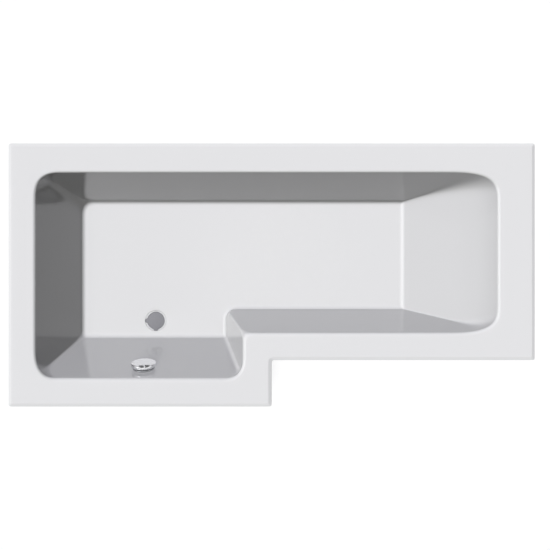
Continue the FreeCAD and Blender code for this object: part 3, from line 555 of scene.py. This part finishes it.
def ring_faces(rows, columns, loop=False):
    """Quads between neighbouring closed rings, numbered row by row; a loop joins the last row to the
    first."""
    i, j = np.mgrid[0:rows if loop else rows - 1, 0:columns]
    below = (i + 1) % rows
    beside = (j + 1) % columns
    quads = [i * columns + j, below * columns + j, below * columns + beside, i * columns + beside]
    return np.stack(quads, axis=-1).reshape(-1, len(quads))


def lathe(profile, steps=circle_steps):
    """Surface of revolution: each radius and height of a profile carried round the Z axis from -Y."""
    radius, height = np.array(profile, dtype=float).T
    angle = np.arange(steps) * 2 * math.pi / steps - math.pi / 2
    x = radius[:, None] * np.cos(angle)
    y = radius[:, None] * np.sin(angle)
    return np.stack([x, y, height[:, None] + 0 * angle], axis=-1)


def on_wall(points):
    """Carry points from the Z axis to the overflow's axis: turned about X onto the wall's normal, then
    moved."""
    x, y, z = np.moveaxis(points, -1, 0)
    sine = math.sin(wall_slope)
    cosine = math.cos(wall_slope)
    return overflow_point + np.stack([x, y * sine + z * cosine, z * sine - y * cosine], axis=-1)


def add_mesh(name, points, faces, material):
    """A smooth mesh object from vertices and faces, sharp where faces meet at more than the crease
    angle."""
    mesh = bpy.data.meshes.new(name)
    mesh.from_pydata(points.reshape(-1, 3).tolist(), [], faces)
    mesh.shade_smooth()
    mesh.set_sharp_from_angle(angle=crease_angle)
    if material:
        mesh.materials.append(material)
    piece = bpy.data.objects.new(name, mesh)
    bpy.context.scene.collection.objects.link(piece)
    return piece


def fit(piece, body, slot, *nodes):
    """Let a piece ride on a body and stand for CAD nodes; the slot is not used."""
    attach(piece, body)
    if nodes:
        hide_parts(*nodes)
    return piece


def capped(rings):
    """Faces of closed rings with a flat cap on the first ring and on the last."""
    rows, columns = rings.shape[:2]
    last = (rows - 1) * columns
    quads = ring_faces(rows, columns).tolist()
    return quads + [list(range(columns)), list(range(last, last + columns))[::-1]]


def cut_through(piece, cutter):
    """Cut a piece by another for good, then delete the cutter."""
    cut = piece.modifiers.new("cut", "BOOLEAN")
    cut.object = cutter
    cut.solver = "EXACT"
    depsgraph = bpy.context.evaluated_depsgraph_get()
    mesh = bpy.data.meshes.new_from_object(piece.evaluated_get(depsgraph))
    mesh.set_sharp_from_angle(angle=crease_angle)
    piece.modifiers.clear()
    piece.data = mesh
    bpy.data.objects.remove(cutter)


def waste_pan(near, far):
    """Lathe profile of the recess and hole for the waste in a layer between two depths behind the show
    face."""
    quarter = np.linspace(0, math.pi / 2, round_steps)
    edge = max(recess_round - near, least_round)
    rounded = np.stack([recess_radius + near + edge * (1 - np.sin(quarter)),
                        floor_z - near - edge * (1 - np.cos(quarter))], axis=1)
    bottom = floor_z - recess_depth
    corner = [(recess_radius + near, bottom - near), (waste_hole, bottom - near),
              (waste_hole, bottom - far), (recess_radius + far, bottom - far),
              (recess_radius + far, floor_z - far)]
    return np.concatenate([rounded, corner])


def floor_halves(ring_start, circle_start, columns):
    """The floor round the waste as two flat faces that meet on the line through its middle."""
    ring = np.arange(columns) + ring_start
    circle = np.arange(circle_steps) + circle_start
    middle = circle_steps // 2
    left = np.concatenate([ring[back_column:], ring[:front_column + 1], circle[:1], circle[:middle - 1:-1]])
    right = np.concatenate([ring[front_column:back_column + 1], circle[middle::-1]])
    return [left.tolist(), right.tolist()]


def shell_layer(name, near, far, material):
    """One layer of the shell between two depths behind the show face, closed at the skirt, the waste recess
    and its hole, with the overflow's hole cut through."""
    near_rows = face_rows(near)
    far_rows = [rows[::-1] for rows in face_rows(far)]
    rings = l_rings(*[np.concatenate(pair) for pair in zip(near_rows, far_rows)])
    pan = lathe(waste_pan(near, far)) + np.array([waste_x, waste_y, 0])
    rows, columns = rings.shape[:2]
    pan_start = rows * columns
    last_ring = (rows - 1) * columns
    last_circle = pan_start + (len(pan) - 1) * circle_steps
    faces = ring_faces(rows, columns).tolist()
    faces += (ring_faces(len(pan), circle_steps) + pan_start)[:, ::-1].tolist()
    faces += floor_halves(0, pan_start, columns)
    faces += [half[::-1] for half in floor_halves(last_ring, last_circle, columns)]
    points = np.concatenate([rings.reshape(-1, 3), pan.reshape(-1, 3)])
    piece = add_mesh(name, points, faces, material)
    bore = on_wall(lathe([(overflow_hole, bore_reach), (overflow_hole, -bore_reach)]))
    cut_through(piece, add_mesh("bore", bore, capped(bore), None))
    return piece


def overflow_knob():
    """Knob as a lathe: a slightly domed face, a quarter ellipse to the shoulder, a straight side to the
    waist, a quarter ellipse to the foot, a hollow and a boss. A finger scoop, a little turned, lowers the
    top of the face: nothing below its start, a parabola over the blend and a slant beyond it, times one
    less the fourth power across its width; it shrinks to nothing at the waist. A rib up its middle, a
    raised cosine, fills most of it."""
    quarter = np.linspace(0, math.pi / 2, knob_rows)
    radii = np.linspace(knob_bore, knob_flat, knob_rows)[:-1]
    face = np.stack([radii, knob_front - knob_dome * (radii / knob_flat) ** 2], axis=1)
    edge = np.stack([knob_flat + (knob_radius - knob_flat) * np.sin(quarter),
                     knob_shoulder + (knob_front - knob_dome - knob_shoulder) * np.cos(quarter)], axis=1)
    under = np.stack([knob_foot_radius + (knob_radius - knob_foot_radius) * np.cos(quarter),
                      knob_waist - (knob_waist - knob_back) * np.sin(quarter)], axis=1)
    rest = [(knob_hollow_radius, knob_back), (knob_hollow_radius, knob_hollow_top),
            (knob_boss_radius, knob_hollow_top), (knob_boss_radius, knob_boss_back),
            (knob_bore, knob_boss_back), (knob_bore, knob_hollow_top)]
    points = lathe(np.concatenate([face, edge, under, rest]), knob_steps)
    top_rows = len(face) + len(edge)
    x, y, height = np.moveaxis(points[:top_rows], -1, 0)
    side = x * math.cos(scoop_turn) + y * math.sin(scoop_turn)
    beyond = np.maximum(x * math.sin(scoop_turn) - y * math.cos(scoop_turn) - scoop_start, 0)
    bend = np.minimum(beyond, scoop_blend)
    scoop = scoop_slope * (bend ** 2 / (2 * scoop_blend) + beyond - bend)
    scoop *= 1 - np.clip(side / scoop_half_width, -1, 1) ** 4
    rib = (1 + np.cos(math.pi * np.clip(side / rib_half_width, -1, 1))) / 2
    depth = scoop * (1 - rib_share * rib) / (knob_front - knob_waist)
    points[:top_rows, :, 2] = knob_waist + (height - knob_waist) * (1 - depth)
    return add_mesh("knob", on_wall(points), capped(points), chrome_plate)


def waste_plug():
    """Plug as a lathe: a slightly domed top, a rounded edge, a flat underside and its boss. Lugs push the
    edge out by a raised cosine of the distance round it, cut off blunt."""
    quarter = np.linspace(0, math.pi / 2, round_steps)
    straight = plug_radius - plug_round
    under = plug_high.z - plug_thickness
    share = np.linspace(plug_centre_share, 1, plug_face_rows)
    face = np.stack([straight * share, plug_high.z - plug_dome * share ** 2], axis=1)
    edge = np.stack([straight + plug_round * np.sin(quarter),
                     plug_high.z - plug_dome - plug_round * (1 - np.cos(quarter))], axis=1)
    boss = [(plug_boss_radius, under), (plug_boss_radius, plug_low.z)]
    points = lathe(np.concatenate([face, edge, [(plug_radius, under)], boss]), plug_steps)
    turned = np.arange(plug_steps) * 2 * math.pi / plug_steps
    apart = np.abs((turned[:, None] - lug_angles + math.pi) % (2 * math.pi) - math.pi) * plug_radius
    wave = (1 + np.cos(math.pi * np.clip(2 * apart / lug_widths, 0, 1))) / 2
    lugs = np.clip(lug_flatness * wave, 0, 1) @ lug_reaches
    points[len(face):-len(boss), :, :2] *= 1 + lugs[:, None] / plug_radius
    points += np.array([waste_x, waste_y, 0])
    return add_mesh("plug", points, capped(points), satin_plated_plug())


def pipe(x, top, distance, radius, steps):
    """Circles of given radii at distances along the route: down, round a quarter bend, then level.
    Each circle lies square to the route, across X and the route's own normal."""
    drop = top - route_z - route_bend
    turned = np.clip((distance - drop) / route_bend, 0, math.pi / 2)[:, None]
    level = np.maximum(distance - drop - route_bend * math.pi / 2, 0)[:, None]
    fall = np.minimum(distance, drop)[:, None]
    around = np.arange(steps) * 2 * math.pi / steps
    across = radius[:, None] * np.cos(around)
    out = radius[:, None] * np.sin(around)
    y = route_y + route_bend * (1 - np.cos(turned)) + level + out * np.cos(turned)
    z = top - fall - route_bend * np.sin(turned) + out * np.sin(turned)
    return np.stack([x + across, y, z], axis=-1)


def route_length(top, end):
    """Length of the route from its top level to its end along Y."""
    return top - route_z - route_bend + route_bend * math.pi / 2 + end - route_y - route_bend


def ribbed_hose():
    """Hose with plain cuffs: its radius rises and falls with the cosine of the distance, cut off flat on
    the crests, and a plain bore runs back inside."""
    length = route_length(hose_high.z, hose_high.y)
    ribs = int((length - 2 * hose_cuff) / rib_pitch)
    along = np.linspace(hose_cuff, hose_cuff + ribs * rib_pitch, hose_rows_per_rib * ribs + 1)
    wave = (1 - np.cos(2 * math.pi * (along - hose_cuff) / rib_pitch)) / 2
    radius = hose_root + rib_height * np.clip(rib_flatness * wave, 0, 1)
    back = np.linspace(length, 0, hose_bore_rows)
    distance = np.concatenate([[0], along, [length], back])
    radii = np.concatenate([[hose_root], radius, [hose_root], 0 * back + hose_bore])
    points = pipe(hose_x, hose_high.z, distance, radii, hose_steps)
    faces = ring_faces(len(distance), hose_steps, True).tolist()
    return add_mesh("hose", points, faces, blow_moulded_hose)


def cable_sheath():
    """Plain round sheath along the same route beside the hose."""
    distance = np.linspace(0, route_length(cable_high.z, cable_high.y), cable_rows)
    points = pipe(cable_x, cable_high.z, distance, 0 * distance + cable_radius, cable_steps)
    return add_mesh("cable", points, capped(points), extruded_sheath)


def threaded_stud(k):
    """Stud with a thread: the radius falls from the crest with the distance from the helix, height over
    pitch less the turn, and a chamfer at each end."""
    low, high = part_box("levelling_stud_%d" % k)
    z = np.arange(high.z, low.z, -thread_pitch / thread_rows_per_turn)[:, None]
    around = np.arange(thread_steps) * 2 * math.pi / thread_steps
    helix = (z / thread_pitch - around / (2 * math.pi)) % 1
    from_end = np.minimum(high.z - z, z - low.z)
    radius = stud_radius - np.maximum(thread_depth * np.abs(2 * helix - 1), 2 * thread_depth - from_end)
    x = (low.x + high.x) / 2 + radius * np.cos(around)
    y = (low.y + high.y) / 2 + radius * np.sin(around)
    points = np.stack([x, y, z + 0 * around], axis=-1)
    return add_mesh("stud_%d" % k, points, capped(points), zinc)


def foot_pad(k):
    """Foot as a lathe: a socket for the stud, a boss and a round-edged pad, with ribs from boss to rim
    whose height follows the cosine of the angle, cut off above and below, and falls towards the rim."""
    low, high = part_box("foot_pad_%d" % k)
    quarter = np.linspace(0, math.pi / 2, round_steps)
    boss = [(stud_radius, pad_socket), (stud_radius, pad_height), (pad_boss - pad_round, pad_height)]
    boss_edge = np.stack([pad_boss - pad_round * (1 - np.sin(quarter)),
                          pad_height - pad_round * (1 - np.cos(quarter))], axis=1)
    share = np.linspace(0, 1, pad_web_rows)
    web = np.stack([pad_boss + (pad_radius - pad_round - pad_boss) * share, pad_rim + 0 * share], axis=1)
    pad_edge = np.stack([pad_radius - pad_round * (1 - np.sin(quarter)),
                         pad_rim - pad_round * (1 - np.cos(quarter))], axis=1)
    foot = [(pad_radius, pad_foot_ease), (pad_radius - pad_foot_ease, 0)]
    points = lathe(np.concatenate([boss, boss_edge, web, pad_edge[1:], foot]), pad_steps)
    around = np.arange(pad_steps) * 2 * math.pi / pad_steps
    ribs = np.clip(pad_rib_steepness * (np.cos(pad_ribs * around) - pad_rib_cut), 0, 1)
    first = len(boss) + len(boss_edge)
    points[first:first + len(web), :, 2] += pad_rib_rise * (1 - share)[:, None] * ribs
    points += np.array([(low.x + high.x) / 2, (low.y + high.y) / 2, low.z])
    return add_mesh("foot_%d_pad" % k, points, capped(points), moulded_nylon)


def eased_batten(node, along, material):
    """Planed batten: a rectangle with rounded corners carried along X or Y and drawn in at both ends."""
    low, high = (np.array(corner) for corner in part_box(node))
    half = (high - low) / 2
    across = 1 - along
    quarters = 4
    side = np.repeat(np.arange(quarters), batten_steps)
    angle = side * math.pi / 2 + np.tile(np.linspace(0, math.pi / 2, batten_steps), quarters)
    middle = side * math.pi / 2 + math.pi / 4
    start = np.linspace(batten_end_angle, math.pi / 2, batten_steps)
    turned = np.concatenate([start, start[::-1]])[:, None]
    way = np.repeat([-1, 1], batten_steps)[:, None]
    ease = batten_ease * np.sin(turned)
    points = np.zeros((len(turned), len(side), 3))
    points[:, :, along] = way * (half[along] - batten_ease * (1 - np.cos(turned)))
    points[:, :, across] = np.sign(np.cos(middle)) * (half[across] - batten_ease) + ease * np.cos(angle)
    points[:, :, 2] = np.sign(np.sin(middle)) * (half[2] - batten_ease) + ease * np.sin(angle)
    points += (low + high) / 2
    if across:
        points = points[:, ::-1]
    return add_mesh("eased_" + node, points, capped(points), material)


def dress(material, *nodes):
    """Give CAD nodes that keep their own shape a finish."""
    for node in nodes:
        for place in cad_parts[node].material_slots:
            place.material = material


def white_floor():
    """Plain pale ground that shines white by itself and keeps a faint shadow of the bath."""
    material = bpy.data.materials.new("white_ground")
    material.use_nodes = True
    tree = material.node_tree
    tree.nodes.remove(tree.nodes["Principled BSDF"])
    glow = add_node(tree, "ShaderNodeEmission", {}, {"Color": linear("#FFFFFF"), "Strength": ground_glow})
    matt = add_node(tree, "ShaderNodeBsdfDiffuse", {}, {"Color": linear("#CCCCCC")})
    both = add_node(tree, "ShaderNodeAddShader", {}, {})
    tree.links.new(glow.outputs[0], both.inputs[0])
    tree.links.new(matt.outputs[0], both.inputs[1])
    tree.links.new(both.outputs[0], tree.nodes["Material Output"].inputs["Surface"])
    corners_at = ground_half * np.array([[-1, -1, 0], [1, -1, 0], [1, 1, 0], [-1, 1, 0]])
    add_mesh("ground", corners_at, [[0, 1, 2, 3]], material)


def lamp_from(name, side, strength, width, colour):
    """A soft distant lamp that shines from a direction."""
    lamp = bpy.data.lights.new(name, "SUN")
    lamp.energy = strength
    lamp.angle = width
    lamp.color = linear(colour)[:3]
    holder = bpy.data.objects.new(name, lamp)
    holder.rotation_euler = side.to_track_quat("Z", "Y").to_euler()
    bpy.context.scene.collection.objects.link(holder)
    return holder


def lamps():
    """A lamp overhead that casts the shadow, a shadowless fill from the shower end and a cool one from the
    wall side, and a level lamp that only reaches the outside of the front, none of them mirrored; and a
    lamp seen only in gloss, which draws the bright lines along the lips. Each vector is a lamp's direction
    and, by its length, its share of the full light on a surface that faces it."""
    shares = {
        "overhead": (Vector((0, 0, 0.35)), overhead_width, "#FFFFF8", True),
        "shower_end_fill": (Vector((-0.45, 0, 0.28)), overhead_width, "#FFFFFF", False),
        "wall_side_fill": (Vector((0, 0.275, 0.37)), overhead_width, "#F8F8FF", False),
        "front_fill": (Vector((0, -0.22, -0.004)), level_width, "#FFFFFF", True),
    }
    for name, (side, width, colour, shadow) in shares.items():
        lamp = lamp_from(name, side, side.length * full_light, width, colour)
        lamp.visible_glossy = False
        lamp.data.use_shadow = shadow
    sheen = lamp_from("lip_sheen", sheen_side, sheen_strength, sheen_width, "#FFFFFF")
    sheen.visible_diffuse = False
    sheen.data.use_shadow = False


def white_surround():
    """A surround that is dim to matt surfaces and white to the eye, in gloss and through what is clear."""
    world = bpy.data.worlds.new("surround")
    bpy.context.scene.world = world
    world.use_nodes = True
    tree = world.node_tree
    path = add_node(tree, "ShaderNodeLightPath", {}, {})
    seen = add_node(tree, "ShaderNodeMath", {"operation": "MAXIMUM"}, {
        0: path.outputs["Is Camera Ray"], 1: path.outputs["Is Glossy Ray"]})
    also = add_node(tree, "ShaderNodeMath", {"operation": "MAXIMUM"}, {
        0: seen.outputs[0], 1: path.outputs["Is Transmission Ray"]})
    level = add_node(tree, "ShaderNodeMapRange", {}, {
        "Value": also.outputs[0], "To Min": matt_surround, "To Max": 1.0})
    sky = tree.nodes["Background"]
    sky.inputs["Color"].default_value = linear("#FFFFFF")
    tree.links.new(level.outputs["Result"], sky.inputs["Strength"])


def camera_above():
    """Camera straight above the bath, image up along +Y."""
    camera = bpy.data.cameras.new("view")
    camera.lens = camera_lens
    camera.sensor_width = camera_sensor
    eye = bpy.data.objects.new("view", camera)
    eye.location = camera_place
    bpy.context.scene.collection.objects.link(eye)
    bpy.context.scene.camera = eye


# Pieces with shapes of their own
fit(shell_layer("acrylic_shell", 0, acrylic_thickness, polished_acrylic()), "bath", "acrylic", "bath_shell")
fit(shell_layer("glass_fibre_back", fibre_start, fibre_end, sprayed_glass_fibre()), "bath", "acrylic")
fit(overflow_knob(), "knob", "chrome", "overflow_knob")
plug = fit(waste_plug(), "plug", "satin_plug", "plug_cap")
fit(ribbed_hose(), "bath", "hose", "overflow_hose")
fit(cable_sheath(), "bath", "cable_sheath", "control_cable")
for foot in range(1, feet + 1):
    fit(threaded_stud(foot), "foot_%d" % foot, "zinc_steel", "levelling_stud_%d" % foot)
    fit(foot_pad(foot), "foot_%d" % foot, "black_nylon", "foot_pad_%d" % foot)
pine_along_x = planed_softwood("planed_softwood_along_x", 0)
pine_along_y = planed_softwood("planed_softwood_along_y", 1)
for batten in ("back_batten", "wide_front_batten", "narrow_front_batten"):
    fit(eased_batten(batten, 0, pine_along_x), "bath", "timber", batten)
for batten in ("shower_end_batten", "backrest_end_batten", "step_batten"):
    fit(eased_batten(batten, 1, pine_along_y), "bath", "timber", batten)

# Nodes that keep their own shape
dress(pressed_chipboard(), "base_board")
dress(zinc, "shower_rail", "backrest_rail", "centre_foot_bracket", "rail_screws", "weld_nuts", "lock_nuts",
      "wall_brackets", "bracket_screws")
dress(worn_chrome, "waste_flange")
dress(satin_plate, "overflow_flange")
dress(moulded_rubber, "waste_top_seal", "waste_lower_seal", "overflow_front_seal", "overflow_back_seal",
      "plug_seal")
dress(moulded_polypropylene, "waste_body", "overflow_body", "hose_nuts")
dress(turned_brass, "plug_stem", "knob_spindle", "cable_ferrules")
dress(moulded_acetal, "lift_rocker", "spindle_crank")

# The photograph's walls carry no dark image of the waste
not_mirrored = [plug] + [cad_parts[node] for node in ("waste_body", "plug_seal", "plug_stem")]
for piece in not_mirrored:
    piece.visible_glossy = False

white_floor()
lamps()
white_surround()
camera_above()
bpy.context.scene.view_settings.view_transform = "Standard"
bpy.context.scene.cycles.diffuse_bounces = 0
